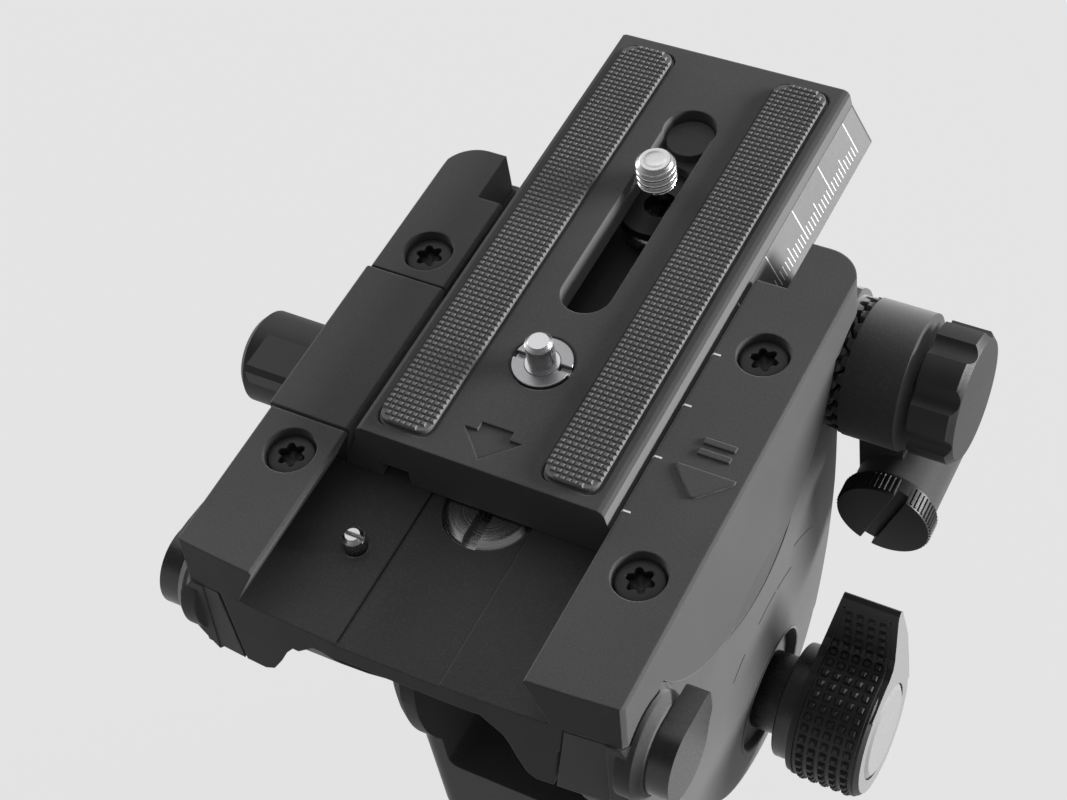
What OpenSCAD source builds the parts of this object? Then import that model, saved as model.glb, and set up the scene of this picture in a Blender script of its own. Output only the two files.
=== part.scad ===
// Fluid video head: tilt platform with sliding plate, two side arms, fork and pan base.
// Millimetres. Z is up, X runs across the head, the lens side is -Y.
// The origin is the middle of the seat on the tripod, on the pan axis.

/* [Pan base] */
// radius of the disc that sits on the tripod
base_r = 20; // [19:0.25:21]
// thickness of that disc
base_t = 7; // [5:0.5:9]
// minor radius of the 3/8 inch tapped hole
stud_r = 4; // [3.6:0.05:4.3]
// depth of the tapped hole
stud_l = 11; // [8:0.5:12]
// radius of the pan drum above the disc
drum_r = 19.5; // [19:0.25:20]
// height of the top of the pan drum
drum_top = 18; // [17:0.5:20]
// radius of the pan spindle
spindle_r = 5; // [4.5:0.1:5.4]
// radius of the fixed boss that the pan brake grips
boss_r = 10.5; // [10:0.1:10.8]

/* [Fork] */
// height of the tilt axis above the tripod
tilt_h = 58; // [57:0.5:64]
// outside width of the two uprights
fork_w = 40; // [37:0.2:41]
// thickness of one upright
fork_wall = 5.6; // [5:0.1:7]
// depth of the fork, front to back
fork_d = 47; // [44:0.5:48]
// how much further the round heads of the uprights reach
fork_flare = 3.5; // [2:0.25:4]
// width over the two hub discs
hub_w = 44; // [42:0.5:45]
// radius of one hub disc
hub_r = 12; // [9:0.5:13]
// clearance between the damper cartridge and the bottom of the fork window
window_gap = 2; // [1.5:0.25:2.5]
// radius of the tilt axle
axle_r = 4; // [3:0.1:5]
// radius of the damper cartridge between the uprights
damper_r = 20; // [18.5:0.25:21]

/* [Platform] */
// width over the two rails
platform_w = 71; // [68:0.5:76]
// length of the platform
platform_l = 86.5; // [80:0.5:96]
// height of the channel floor above the tilt axis
floor_rise = 49.3; // [48.5:0.1:54]
// height of the rails above the channel floor
rail_h = 8.2; // [7:0.1:9]
// thickness of the platform floor
floor_t = 6; // [5.5:0.1:6.5]
// clear width between the tops of the rails
channel_w = 44.2; // [43.5:0.1:45]
// how far the rails are undercut on each side
undercut = 2.3; // [1.8:0.1:2.6]
// radius of the half moon skirts below the rails
skirt_r = 33; // [31:0.25:34]
// depth of the half moon skirts below the channel floor
skirt_drop = 19.3; // [17:0.1:21]
// corner radius at the back of the platform
corner_back = 6; // [3:0.5:9]
// how far the front of the rails sweeps back at the corners
front_sweep = 1.6; // [0.4:0.1:2.4]
// distance between the front and back arm screws
screw_pitch = 41.5; // [38:0.5:44]
// distance between the left and right arm screws
screw_span = 56.6; // [56:0.1:58]

/* [Side arms] */
// width over the faces of the two side arms
arm_w = 73; // [72:0.5:75]
// distance between the inner faces of the arms
arm_inner = 46; // [45.6:0.2:48]
// radius of the round foot of an arm
arm_r = 22.5; // [21.5:0.25:24]
// height of the middle of that round foot above the tilt axis
arm_rise = 6.5; // [5.5:0.25:8]
// distance of the front boss from the tilt axis, forward
boss_y = 36; // [34:0.5:39]
// height of the front boss above the tilt axis
boss_z = 42; // [40:0.25:42.5]
// radius of the front boss
front_r = 8; // [7.4:0.1:8.4]
// distance of the rosette from the tilt axis, backward
ros_y = 37.5; // [36:0.1:40]
// height of the rosette above the tilt axis
ros_z = 39.5; // [38:0.1:40]
// radius of the toothed rosette
ros_r = 10.6; // [9.5:0.1:10.8]

/* [Plate] */
// length of the sliding plate
plate_l = 88; // [80:1:100]
// width of the top of the plate
plate_top_w = 38.8; // [38:0.1:40]
// width of the foot of the plate
plate_foot_w = 47.6; // [46.6:0.1:47.8]
// thickness of the plate
plate_t = 10.4; // [10:0.1:11.4]
// how far the middle of the plate stands behind the pan axis
plate_y = 29.1; // [24:0.1:34]
// width of the screw slot
slot_w = 8.2; // [7.6:0.1:8.6]
// length of the screw slot
slot_l = 31.2; // [30:0.1:32]
// width of one grip pad
pad_w = 9.5; // [8:0.1:10]
// length of a grip pad
pad_l = 84.2; // [70:0.2:84.6]
// how far the pads stand proud
pad_up = 0.9; // [0.5:0.05:1.2]
// radius of the 1/4 inch camera screw
cam_r = 3.175; // [3:0.005:3.3]
// how far the camera screw stands above the plate
cam_up = 4.8; // [4:0.1:5.5]
// radius of the video pin
pin_r = 2.15; // [1.8:0.05:2.3]
// how far the video pin stands above the plate
pin_up = 5; // [4:0.1:5.5]

/* [Knobs] */
// radius of the round part of the tilt knob
tilt_knob_r = 10.8; // [10.4:0.1:11.4]
// reach of the tilt knob wing from its axis
tilt_wing = 24.2; // [22:0.2:25]
// depth of the tilt knob grip
tilt_knob_d = 12; // [10:0.25:14]
// radius of the plate lock knob
lock_knob_r = 7.4; // [6:0.1:7.8]
// how far the plate lock knob stands out
lock_knob_d = 12.6; // [10.5:0.2:14]
// radius of the pan lock knob
pan_knob_r = 9.5; // [8.5:0.1:10.5]
// how far the pan lock knob stands behind the pan axis
pan_knob_y = 24.6; // [24.6:0.2:28]
// radius of the bracket knob
bracket_knob_r = 10.6; // [9:0.1:10.8]
// radius of the knurled thumb screw
thumb_r = 7.6; // [6.5:0.1:7.8]

/* [Pan bar bracket] */
// radius of the round head of the bracket
bracket_r = 11; // [10.8:0.1:11.4]
// thickness of that head
bracket_t = 8.8; // [8:0.1:9.5]
// radius of the bar that the socket takes
bar_r = 5; // [4.5:0.1:5.2]
// height of the socket below the rosette axis
socket_drop = 18.3; // [18.2:0.1:19]

/* [Hidden] */
$fn = 96;
fit = 0.03;
run = 0.06;
gap = 0.3;
e = 0.01;

zt = tilt_h;
zf = zt + floor_rise;
zr = zf + rail_h;
plate_z = zf + gap;
plate_top = plate_z + plate_t;
hw = platform_w / 2;
fw = fork_w / 2;
win = fw - fork_wall;
hub_x = hub_w / 2;
window_z = zt - damper_r - window_gap;
arm_in = arm_inner / 2;
arm_out = arm_w / 2;
slab_hw = channel_w / 2 + undercut + 3.1;
rail_under = zf - 0.4;
skirt_z = zf - skirt_drop + skirt_r;
skirt_in = hw - 10.5;
bulge_r = 220;
horn_cut = 3.4;
y_back = platform_l / 2;
y_front = 0.25 - platform_l / 2;
jaw_y0 = -14.2;
jaw_y1 = 14.8;
lock_y = (jaw_y0 + jaw_y1) / 2;
lock_z = zf - 3;
sx = screw_span / 2;
sy = screw_pitch / 2;
boss_top = 14.5;
insert_r = stud_r + 3;
rotor_r = boss_r + 2;
cav_r = rotor_r + 1;
bush_z = 20;
bush_top = window_z - 6;
bush_r = spindle_r + 3;
axle_bush_r = axle_r + 3;
plug_r = 4;
safe_x = -15;
safe_y = -27.2;
bolt_y = -13.9;
pan_knob_z = base_t + 5.6;
level_x = -fw - 7;
pad_x = plate_top_w / 2 - 1.2 - pad_w / 2;
pad_z = plate_top - 1.2;
y_pin = plate_y - 23.3;
y_slot = plate_y - 12.9;
y_cam = plate_y + 15.6;
y_cup = y_slot + slot_l + slot_w / 2 + 5;
cup_r = slot_w / 2 + 0.25;
head_r = cam_r + 3.6;
neck_r = cam_r - 0.6;
guide_r = pin_r + 0.5;
ros_x = arm_out - 2.7;
tooth_h = 1;
teeth = 24;
bx = ros_x + 0.9 + tooth_h + gap + tooth_h;
bx1 = bx + bracket_t;
lug_x = bx + 8.4;
lug_r = bar_r + 1.9;
lug_y0 = ros_y - 9.8;
lug_y1 = ros_y + 11;
lug_z = zt + ros_z - socket_drop;
thumb_d = 3.8;
knob_x0 = arm_out + 3.5;
knob_x1 = knob_x0 + 3;
knob_x2 = knob_x1 + tilt_knob_d;

black = [0.10, 0.10, 0.11];
cast = [0.30, 0.30, 0.31];
rubber = [0.06, 0.06, 0.06];
steel = [0.70, 0.70, 0.72];
brass = [0.75, 0.62, 0.32];
grey = [0.55, 0.55, 0.56];

// round bar along +X from x0 to x1, at y, z
module xbar(x0, x1, y, z, r) {
  translate([x0, y, z]) rotate([0, 90, 0]) cylinder(r = r, h = x1 - x0);
}

// cone along +X
module xcone(x0, x1, y, z, ra, rb) {
  translate([x0, y, z]) rotate([0, 90, 0]) cylinder(r1 = ra, r2 = rb, h = x1 - x0);
}

// round bar along +Y
module ybar(y0, y1, x, z, r) {
  translate([x, y1, z]) rotate([90, 0, 0]) cylinder(r = r, h = y1 - y0);
}

// round bar along +Z
module zbar(z0, z1, x, y, r) {
  translate([x, y, z0]) cylinder(r = r, h = z1 - z0);
}

module zcone(z0, z1, x, y, ra, rb) {
  translate([x, y, z0]) cylinder(r1 = ra, r2 = rb, h = z1 - z0);
}

// box from one corner to the other
module span(a, b) {
  translate(a) cube([b[0] - a[0], b[1] - a[1], b[2] - a[2]]);
}

// profile drawn in X and Z, pulled along Y
module along_y(y0, y1) {
  translate([0, y1, 0]) rotate([90, 0, 0]) linear_extrude(height = y1 - y0) children();
}

// profile drawn in Y and Z, pulled along X
module along_x(x0, x1) {
  translate([x0, 0, 0]) rotate([90, 0, 90]) linear_extrude(height = x1 - x0) children();
}

// coil along +Z from z = 0: mean radius, wire radius, rise per turn, turns
module coil(r, w, p, n) {
  steps = n * 10;
  sides = 6;
  pts = [for (i = [0 : steps]) for (k = [0 : sides - 1])
    let (a = i * 36, q = r + w * cos(k * 60))
    [q * cos(a), q * sin(a), w + p * i / 10 + w * sin(k * 60)]];
  walls = [for (i = [0 : steps - 1]) for (k = [0 : sides - 1])
    [i * sides + k, (i + 1) * sides + k, (i + 1) * sides + (k + 1) % sides, i * sides + (k + 1) % sides]];
  first = [[for (k = [0 : sides - 1]) k]];
  last = [[for (k = [sides - 1 : -1 : 0]) steps * sides + k]];
  polyhedron(points = pts, faces = concat(walls, first, last), convexity = 6);
}

// PAN BASE

module base_plate() {
  color(black) difference() {
    union() {
      zcone(0, 0.8, 0, 0, base_r - 0.8, base_r);
      zbar(0.8, base_t - 0.8, 0, 0, base_r);
      zcone(base_t - 0.8, base_t, 0, 0, base_r, base_r - 0.8);
      zbar(base_t - e, boss_top, 0, 0, boss_r);
    }
    zbar(-1, stud_l + 0.1, 0, 0, insert_r + fit);
    zbar(stud_l, boss_top + 1, 0, 0, spindle_r + fit);
    difference() {
      zbar(-1, 1.2, 0, 0, base_r - 2.2);
      zbar(-2, 2, 0, 0, insert_r + 3.5);
    }
  }
}

module base_pad() {
  color(rubber) difference() {
    zbar(0, 1.2 - fit, 0, 0, base_r - 2.2 - fit);
    zbar(-1, 2, 0, 0, insert_r + 3.5 + fit);
  }
}

module tripod_insert() {
  color(steel) difference() {
    zbar(0, stud_l, 0, 0, insert_r);
    zbar(-1, stud_l + 1, 0, 0, stud_r);
    for (a = [0, 180]) rotate([0, 0, a]) zbar(-1, 2, stud_r + 1.7, 0, 0.7);
  }
}

module pan_spindle() {
  color(steel) union() {
    zbar(stud_l + 0.12, bush_top + 4.6, 0, 0, spindle_r);
    zcone(bush_top + 4.6 - e, bush_top + 5.4, 0, 0, spindle_r, spindle_r - 0.8);
  }
}

module pan_nut() {
  color(steel) difference() {
    translate([0, 0, bush_top + 0.7]) cylinder(r = bush_r, h = 3.6, $fn = 6);
    zbar(bush_top, bush_top + 6, 0, 0, spindle_r + fit);
  }
}

module pan_drag_rotor() {
  color(brass) difference() {
    union() {
      zbar(boss_top + 0.02, boss_top + 0.8, 0, 0, spindle_r + 3);
      zbar(boss_top + 0.7, boss_top + 2.2, 0, 0, rotor_r);
    }
    zbar(boss_top - 1, boss_top + 4, 0, 0, spindle_r + fit);
    for (a = [0 : 60 : 300]) rotate([0, 0, a]) zbar(boss_top, boss_top + 4, spindle_r + 5, 0, 1.3);
  }
}

// PAN HOUSING WITH THE FORK

// outline of the fork seen from above, at a depth d
module fork_plan(d) {
  c = 4;
  union() {
    translate([-fw + c, -d / 2]) square([fork_w - 2 * c, d]);
    translate([-fw, -d / 2 + c]) square([fork_w, d - 2 * c]);
    for (s = [-1, 1]) for (t = [-1, 1]) translate([s * (fw - c), t * (d / 2 - c)]) circle(r = c);
  }
}

module window_2d() {
  rr = window_gap;
  union() {
    translate([-win, window_z + rr]) square([2 * win, zt + fork_d + fork_flare - window_z]);
    translate([-win + rr, window_z]) square([2 * win - 2 * rr, rr + 1]);
    for (s = [-1, 1]) translate([s * (win - rr), window_z + rr]) circle(r = rr);
  }
}

module pan_housing() {
  color(black) difference() {
    union() {
      zbar(base_t + 0.4, drum_top + 1.1, 0, 0, drum_r);
      translate([0, 0, drum_top + 1]) linear_extrude(height = zt - drum_top - 1) fork_plan(fork_d);
      intersection() {
        xbar(-fw - 1, fw + 1, 0, zt, fork_d / 2 + fork_flare);
        translate([0, 0, drum_top]) linear_extrude(height = 100) fork_plan(fork_d + 2 * fork_flare);
        translate([0, 0, zt]) sphere(r = fork_d / 2 + fork_flare + 5, $fn = 200);
      }
      xbar(-hub_x, hub_x, 0, zt, hub_r);
      zbar(base_t + 3, drum_top + 1.4, level_x, 0, 6.8);
      span([level_x, -6.8, base_t + 3], [-drum_r + 4, 6.8, drum_top + 1.4]);
    }
    along_y(-60, 60) window_2d();
    zbar(0, boss_top + gap, 0, 0, boss_r + gap + 0.1);
    zbar(boss_top + 0.2, bush_z, 0, 0, cav_r);
    zbar(bush_z - 1, bush_top + 1, 0, 0, bush_r + fit);
    zbar(bush_top, window_z + 6, 0, 0, bush_r + 1.8);
    xbar(-60, 60, 0, zt, axle_bush_r + fit);
    for (s = [-1, 1]) for (t = [-1, 1]) xbar(s > 0 ? win - 1 : -fw - 1, s > 0 ? fw + 1 : -win + 1,
      t * (damper_r - 3.5), zt, 1.5 + fit);
    zbar(drum_top - 3.4, drum_top + 4, level_x, 0, 5.4 + fit);
    rotate([0, 0, 90]) {
      xbar(boss_r, drum_r + 10, 0, pan_knob_z, 2.5 + run);
      span([boss_r - 1, -3.6, pan_knob_z - 3.2], [boss_r + 5.6, 3.6, pan_knob_z + 2.6]);
    }
  }
}

module pan_drag_stator() {
  color(brass) difference() {
    zbar(boss_top + 2.6, bush_z - fit, 0, 0, cav_r - fit);
    zbar(boss_top, bush_z + 1, 0, 0, spindle_r + 0.6);
  }
}

module pan_bush() {
  color(brass) difference() {
    union() {
      zbar(bush_z + 0.02, bush_top + 0.1, 0, 0, bush_r);
      zbar(bush_top + 0.02, bush_top + 0.4, 0, 0, bush_r + 1.2);
    }
    zbar(bush_z - 1, bush_top + 2, 0, 0, spindle_r + run);
  }
}

module pan_brake_shoe() {
  color(rubber) rotate([0, 0, 90]) difference() {
    span([boss_r - 0.5, -3.5, pan_knob_z - 3.1], [boss_r + 5.5, 3.5, pan_knob_z + 2.5]);
    zbar(0, 40, 0, 0, boss_r + gap);
  }
}

module level_ring() {
  color(steel) difference() {
    zbar(drum_top - 3.35, drum_top + 1.8, level_x, 0, 5.4);
    zbar(drum_top - 2.4, drum_top + 4, level_x, 0, 4.5);
  }
}

module level_vial() {
  color([0.6, 0.8, 0.3]) zbar(drum_top - 2.38, drum_top + 1.5, level_x, 0, 4.5 - fit);
}

// TILT UNIT INSIDE THE FORK

module tilt_bushes() {
  color(brass) for (s = [-1, 1]) difference() {
    xbar(s > 0 ? win + 0.1 : -hub_x - 0.15, s > 0 ? hub_x + 0.15 : -win - 0.1, 0, zt, axle_bush_r);
    xbar(-60, 60, 0, zt, axle_r + run);
  }
}

module tilt_damper_case() {
  color(cast) difference() {
    xbar(-win + 0.1, win - 3, 0, zt, damper_r);
    xbar(-win + 2.1, win, 0, zt, damper_r - 3);
    xbar(-60, 60, 0, zt, axle_r + gap);
    for (t = [-1, 1]) xbar(-win - 1, -win + 1.6, t * (damper_r - 3.5), zt, 1.5 + fit);
  }
}

module tilt_damper_cover() {
  color(cast) difference() {
    union() {
      xbar(win - 3 + fit, win - 0.1, 0, zt, damper_r);
      xbar(win - 4.2, win - 2.9, 0, zt, damper_r - 3 - fit);
    }
    xbar(-60, 60, 0, zt, axle_r + gap);
    for (t = [-1, 1]) xbar(win - 1.6, win + 1, t * (damper_r - 3.5), zt, 1.5 + fit);
  }
}

module tilt_drag_plates() {
  color(brass) for (x = [0.3, 3.1]) difference() {
    xbar(x, x + 1.2, 0, zt, damper_r - 3 - fit);
    xbar(-60, 60, 0, zt, axle_r + 3.2);
  }
}

module damper_screws() {
  color(steel) for (m = [0, 1]) for (t = [-1, 1]) mirror([m, 0, 0]) translate([0, t * (damper_r - 3.5), zt])
    difference() {
      union() {
        xbar(win - 1.5, fw + 0.5, 0, 0, 1.5);
        xbar(fw + 0.02, fw + 1.6, 0, 0, 2.7);
      }
      translate([fw + 0.9, 0, 0]) rotate([0, 90, 0]) cylinder(r = 1.3, h = 2, $fn = 6);
    }
}

module counterbalance_spring() {
  color(steel) translate([-win + 2.2, 0, zt]) rotate([0, 90, 0])
    coil(axle_r + 5.4, 0.7, 1.9, 3.5);
}

// PLATFORM

// a rail whose inner edge is at c, with its foot u further out
module rail_2d(c, u) {
  polygon([[c + u, zf], [c, zr - 0.5], [c + 0.4, zr], [hw - 0.4, zr], [hw, zr - 0.5],
    [hw, rail_under], [slab_hw - 1, rail_under], [slab_hw - 2, zf - 2]]);
}

module platform_2d() {
  union() {
    rail_2d(channel_w / 2 - 1, undercut + 1);
    mirror([1, 0]) rail_2d(channel_w / 2, undercut + 1.6);
    translate([-slab_hw, zf - floor_t]) square([2 * slab_hw, floor_t]);
  }
}

// outline from above between a swept front at f and a back at b with round corners
module plan_2d(f, b) {
  w = front_sweep;
  union() {
    polygon([[-hw, f + w + 0.7], [-hw + 0.6, f + w], [-28, f + 0.64 * w], [-20, f + 0.33 * w],
      [-10, f + 0.08 * w], [10, f + 0.08 * w], [20, f + 0.33 * w], [28, f + 0.64 * w],
      [hw - 0.6, f + w], [hw, f + w + 0.7], [hw, b - corner_back], [-hw, b - corner_back]]);
    translate([-hw + corner_back, 0]) square([platform_w - 2 * corner_back, b]);
    for (s = [-1, 1]) translate([s * (hw - corner_back), b - corner_back]) circle(r = corner_back);
  }
}

// the front, which leans forward from the tops of the rails to the arms
module lean_plan() {
  translate([0, y_front, zf]) rotate([-6.6, 0, 0]) translate([0, -y_front, -30])
    linear_extrude(height = 50) plan_2d(y_front, y_back + 20);
}

// the front skirt that hangs inside each side arm, narrower by n
module horn_2d(n) {
  polygon([[12, zf - 3], [14.4, zf - 3.6], [16.6 - 0.2 * n, zf - 4.8], [18.8 - 0.35 * n, zf - 7.6],
    [20.4 - 0.5 * n, zf - 10.6], [22.2 - 0.65 * n, zf - 13.4], [24 - 0.8 * n, zf - 14.4],
    [27.4 - n, zf - 14.4], [29.5 - n, zf + 0.4], [23, zf - 1]]);
}

// what the front cover of an arm takes from the platform, wider by n
module cover_2d(g, n) {
  polygon([[29.7 + g - n, rail_under - g], [27.6 + g - n, zf - 14.4], [60, zf - 14.4], [60, rail_under - g]]);
}

module platform() {
  color(black) difference() {
    union() {
      intersection() {
        along_y(y_front - 8, y_back + 1) platform_2d();
        translate([0, 0, zt]) linear_extrude(height = 100) plan_2d(y_front - 8, y_back);
        lean_plan();
      }
      for (s = [-1, 1]) intersection() {
        xbar(s > 0 ? skirt_in : -arm_out, s > 0 ? arm_out : -skirt_in, 0, skirt_z, skirt_r);
        span([-arm_out, -hw, zt + 10], [arm_out, hw, rail_under + 0.1]);
        union() {
          span([-hw, -hw, zt], [hw, hw, zr]);
          translate([s * (arm_out - bulge_r), 0, zt + 14]) sphere(r = bulge_r - 0.1, $fn = 200);
        }
      }
      intersection() {
        along_y(y_front - 6, y_front + 5.5) union() {
          horn_2d(horn_cut);
          mirror([1, 0]) horn_2d(0);
        }
        lean_plan();
      }
    }
    along_y(y_front - 5, y_front + 8) cover_2d(0, horn_cut);
    along_y(y_front - 5, y_front + 8) mirror([1, 0]) cover_2d(0, 0);
    along_y(y_front - 8, y_front + 4) polygon([[-13.6, zf - 3.5], [13.6, zf - 3.5], [17.2, zf - 6.6],
      [-17.2, zf - 6.6]]);
    span([-9.3, y_front - 5, zf - 0.4], [7.6, y_back + 5, zf + 2]);
    span([-hw - 5, jaw_y0 - 0.5, zf - 6.6], [-channel_w / 2 - undercut + 0.5, jaw_y1 + 0.3, zr + 5]);
    span([-hw - 5, jaw_y0 - 0.5, zf], [-channel_w / 2 + 1, jaw_y1 + 0.3, zr + 5]);
    for (s = [-1, 1]) xbar(s > 0 ? ros_x - gap : -hw - 5, s > 0 ? hw + 5 : -ros_x + gap, ros_y, zt + ros_z,
      ros_r + 0.4);
    for (s = [-1, 1]) span([s * 23.5 - 2.9, y_back - 9.6, zf + 0.6], [s * 23.5 + 2.9, y_back + 2, zr + 1]);
    for (s = [-1, 1]) for (t = [-1, 1]) {
      zbar(zr - 4, zr + 1, s * sx, t * sy, 4.05);
      zbar(zt, zr, s * sx, t * sy, 2.2);
    }
    zbar(zf - 3.4, zf + 1, 0, bolt_y, 7.3);
    zbar(zf - 20, zf, 0, bolt_y, 4 + fit);
    zbar(zf - 20, zf + 1, safe_x, safe_y, 1.7 + run);
    zcone(zf - 0.5, zf + 0.01, safe_x, safe_y, 1.76, 2.3);
    xbar(-hw - 5, -10, lock_y, lock_z, 2 + run);
    for (t = [-1, 1]) xbar(-hw - 5, -13, lock_y + t * 9.5, lock_z, 1.5 + run);
  }
}

module arm_screws() {
  color(black) for (s = [-1, 1]) for (t = [-1, 1]) translate([s * sx, t * sy, 0]) difference() {
    union() {
      zbar(zr - 3.95, zr - 1.6, 0, 0, 3.7);
      zcone(zr - 1.61, zr - 1.1, 0, 0, 3.7, 3.2);
      zbar(zt + 27, zr - 3.5, 0, 0, 2);
    }
    for (a = [0, 60, 120]) rotate([0, 0, a]) span([-2.1, -0.62, zr - 2.9], [2.1, 0.62, zr]);
  }
}

module centre_bolt() {
  color(steel) difference() {
    union() {
      zbar(zf - 3.35, zf - 1, 0, bolt_y, 7);
      zcone(zf - 1.01, zf - 0.1, 0, bolt_y, 7, 6);
      zbar(zf - floor_t - 2.4, zf - 3, 0, bolt_y, 4);
    }
    span([-1.2, bolt_y - 20, zf - 1.6], [1.2, bolt_y + 20, zf + 1]);
  }
}

// SIDE ARMS, drawn for the right side

module arm_2d() {
  union() {
    translate([0, zt + arm_rise]) circle(r = arm_r);
    polygon([[-20.5, zt - 5], [20.5, zt - 5], [26.2, zt + 6.5], [31, zt + 17], [35, zt + 28],
      [ros_y, zt + ros_z - 3], [ros_y, rail_under - gap], [-boss_y, rail_under - gap],
      [-boss_y - 1, zt + boss_z - 4], [-35, zt + 28], [-31, zt + 17], [-26.2, zt + 6.5]]);
  }
}

// what the platform takes from the inner side of an arm at the front
module horn_room(n) {
  polygon([[0, zf - 14.9], [27.75 - n, zf - 14.9], [27.85 - n, zf - 14.4], [29.95 - n, rail_under],
    [0, rail_under]]);
}

module arm_right(n) {
  difference() {
    union() {
      intersection() {
        along_x(arm_in, arm_out + 2) arm_2d();
        translate([arm_out - bulge_r, 0, zt + 14]) sphere(r = bulge_r, $fn = 200);
      }
      intersection() {
        xcone(32.6, arm_out - 0.7, -boss_y, zt + boss_z, front_r + 2.8, front_r);
        translate([0, y_front, zf]) rotate([-6.6, 0, 0]) translate([0, 1.2, -40]) cube([60, 60, 80]);
      }
      xbar(arm_out - 2.5, arm_out, -boss_y, zt + boss_z, front_r);
      xcone(arm_out - e, arm_out + 1.3, -boss_y, zt + boss_z, front_r, front_r - 1);
      xbar(arm_in, ros_x, ros_y, zt + ros_z, ros_r + 1);
      intersection() {
        along_y(y_front - 6, y_front + 12) cover_2d(0.25, n);
        lean_plan();
        along_y(-80, 0) polygon([[0, zf - 16], [34.6, zf - 16], [35.1, zf - 9], [35.4, zf], [0, zf]]);
      }
    }
    xbar(0, 80, 0, skirt_z, skirt_r + 0.25);
    span([0, -80, rail_under - 0.25], [hw + 0.25, 80, zf + 40]);
    span([0, y_front + 7.75, zf - floor_t - 0.3], [slab_hw + 0.3, 80, zf + 40]);
    along_y(-80, y_front + 8.01) horn_room(n);
    xbar(0, 80, 0, zt, axle_r + fit);
    xbar(arm_out - 2.5, 80, 0, zt, 10.5);
    for (t = [-1, 1]) zbar(zt + 26, zf, sx, t * sy, 2 + fit);
    xbar(arm_out - 4, 80, -boss_y, zt + boss_z, plug_r + run);
    xbar(arm_in - 1, 80, ros_y, zt + ros_z, 3 + run);
  }
}

module side_arm_right() {
  color(cast) arm_right(horn_cut);
}

module side_arm_left() {
  color(cast) mirror([1, 0, 0]) arm_right(0);
}

module tilt_axle() {
  color(steel) xbar(-arm_out + 2.6, knob_x1, 0, zt, axle_r);
}

module axle_cap() {
  color(black) difference() {
    union() {
      xbar(-arm_out + 0.6, -arm_out + 2.46, 0, zt, 10);
      xcone(-arm_out - 0.2, -arm_out + 0.61, 0, zt, 9, 10);
    }
    span([-arm_out - 2, -1, zt - 20], [-arm_out + 1.2, 1, zt + 20]);
  }
}

module tilt_damper_rotor() {
  color(steel) difference() {
    union() {
      xbar(-win + 2.5, win - 4.6, 0, zt, axle_r + 2.6);
      for (x = [-1.4, 1.8, 4.6]) xbar(x, x + 1, 0, zt, damper_r - 3.6);
    }
    xbar(-60, 60, 0, zt, axle_r + fit);
  }
}

module rosette() {
  difference() {
    union() {
      xbar(ros_x + 0.02, ros_x + 0.9, 0, 0, ros_r);
      for (k = [0 : teeth - 1]) rotate([k * 360 / teeth, 0, 0]) translate([0, 0, ros_r - 4])
        linear_extrude(height = 3.95) polygon([[ros_x + 0.8, -0.95], [ros_x + 0.9 + tooth_h, -0.5],
          [ros_x + 0.9 + tooth_h, 0.5], [ros_x + 0.8, 0.95]]);
    }
    xbar(0, 80, 0, 0, 3.3);
  }
}

module rosette_right() {
  color(cast) translate([0, ros_y, zt + ros_z]) rosette();
}

module rosette_left() {
  color(cast) mirror([1, 0, 0]) translate([0, ros_y, zt + ros_z]) rosette();
}

// SAFETY PIN

module safety_cup() {
  color(steel) difference() {
    zbar(zf - floor_t - 9.2, zf - floor_t - 0.02, safe_x, safe_y, 4.4);
    zbar(zf - floor_t - 8.2, zf, safe_x, safe_y, 3.3);
  }
}

module safety_spring() {
  color(steel) translate([safe_x, safe_y, zf - floor_t - 8.18]) coil(2.4, 0.3, 5.13 / 4.5, 4.5);
}

module safety_pin() {
  color(steel) difference() {
    union() {
      zbar(zf - floor_t - 2.4, zf + 2.1, safe_x, safe_y, 1.7);
      zcone(zf + 2.09, zf + 2.7, safe_x, safe_y, 1.7, 1.1);
      zbar(zf - floor_t - 2.4, zf - floor_t - 0.6, safe_x, safe_y, 2.9);
    }
    span([safe_x - 4, safe_y - 0.35, zf + 1.7], [safe_x + 4, safe_y + 0.35, zf + 4]);
  }
}

// PLATE CLAMP

module clamp_jaw() {
  c = channel_w / 2;
  color(black) difference() {
    along_y(jaw_y0, jaw_y1) polygon([[-c - undercut, zf + 0.3], [-c, zr - 0.5], [-c - 0.5, zr],
      [-hw - 0.2, zr], [-hw - 0.6, zr - 0.4], [-hw - 0.6, zf - 6.3], [-c - undercut, zf - 6.3]]);
    xbar(-hw - 5, 0, lock_y, lock_z, 2 + gap);
    xbar(-c - undercut - 5.5, 0, lock_y, lock_z, 3.9);
    for (t = [-1, 1]) xbar(-hw + 2.5, 0, lock_y + t * 9.5, lock_z, 1.5 + fit);
  }
}

module jaw_guide_pins() {
  color(steel) for (t = [-1, 1]) xbar(-hw + 2.6, -14, lock_y + t * 9.5, lock_z, 1.5);
}

module jaw_spring() {
  color(steel) translate([-channel_w / 2 - undercut - 5.45, lock_y, lock_z]) rotate([0, 90, 0])
    coil(3.1, 0.4, 1.5, 3);
}

module plate_lock_knob() {
  x0 = -hw - 0.9;
  color(rubber) difference() {
    union() {
      xbar(x0 - lock_knob_d + 1, x0, lock_y, lock_z, lock_knob_r);
      xcone(x0 - lock_knob_d, x0 - lock_knob_d + 1.01, lock_y, lock_z, lock_knob_r - 1, lock_knob_r);
      translate([0, lock_y, lock_z]) along_x(x0 - 8.6, x0) polygon([[-1.6, 0], [-1.6, 8.4], [-8, 8.4],
        [-8.8, 7.6], [-8.8, 5], [-6.6, 2.2], [-5.6, 0]]);
    }
    xbar(x0 - lock_knob_d + 1.5, x0 + 1, lock_y, lock_z, 2 + fit);
  }
}

module plate_lock_screw() {
  color(steel) xbar(-hw - lock_knob_d + 0.7, -11.5, lock_y, lock_z, 2);
}

// FRONT PLUGS

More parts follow.
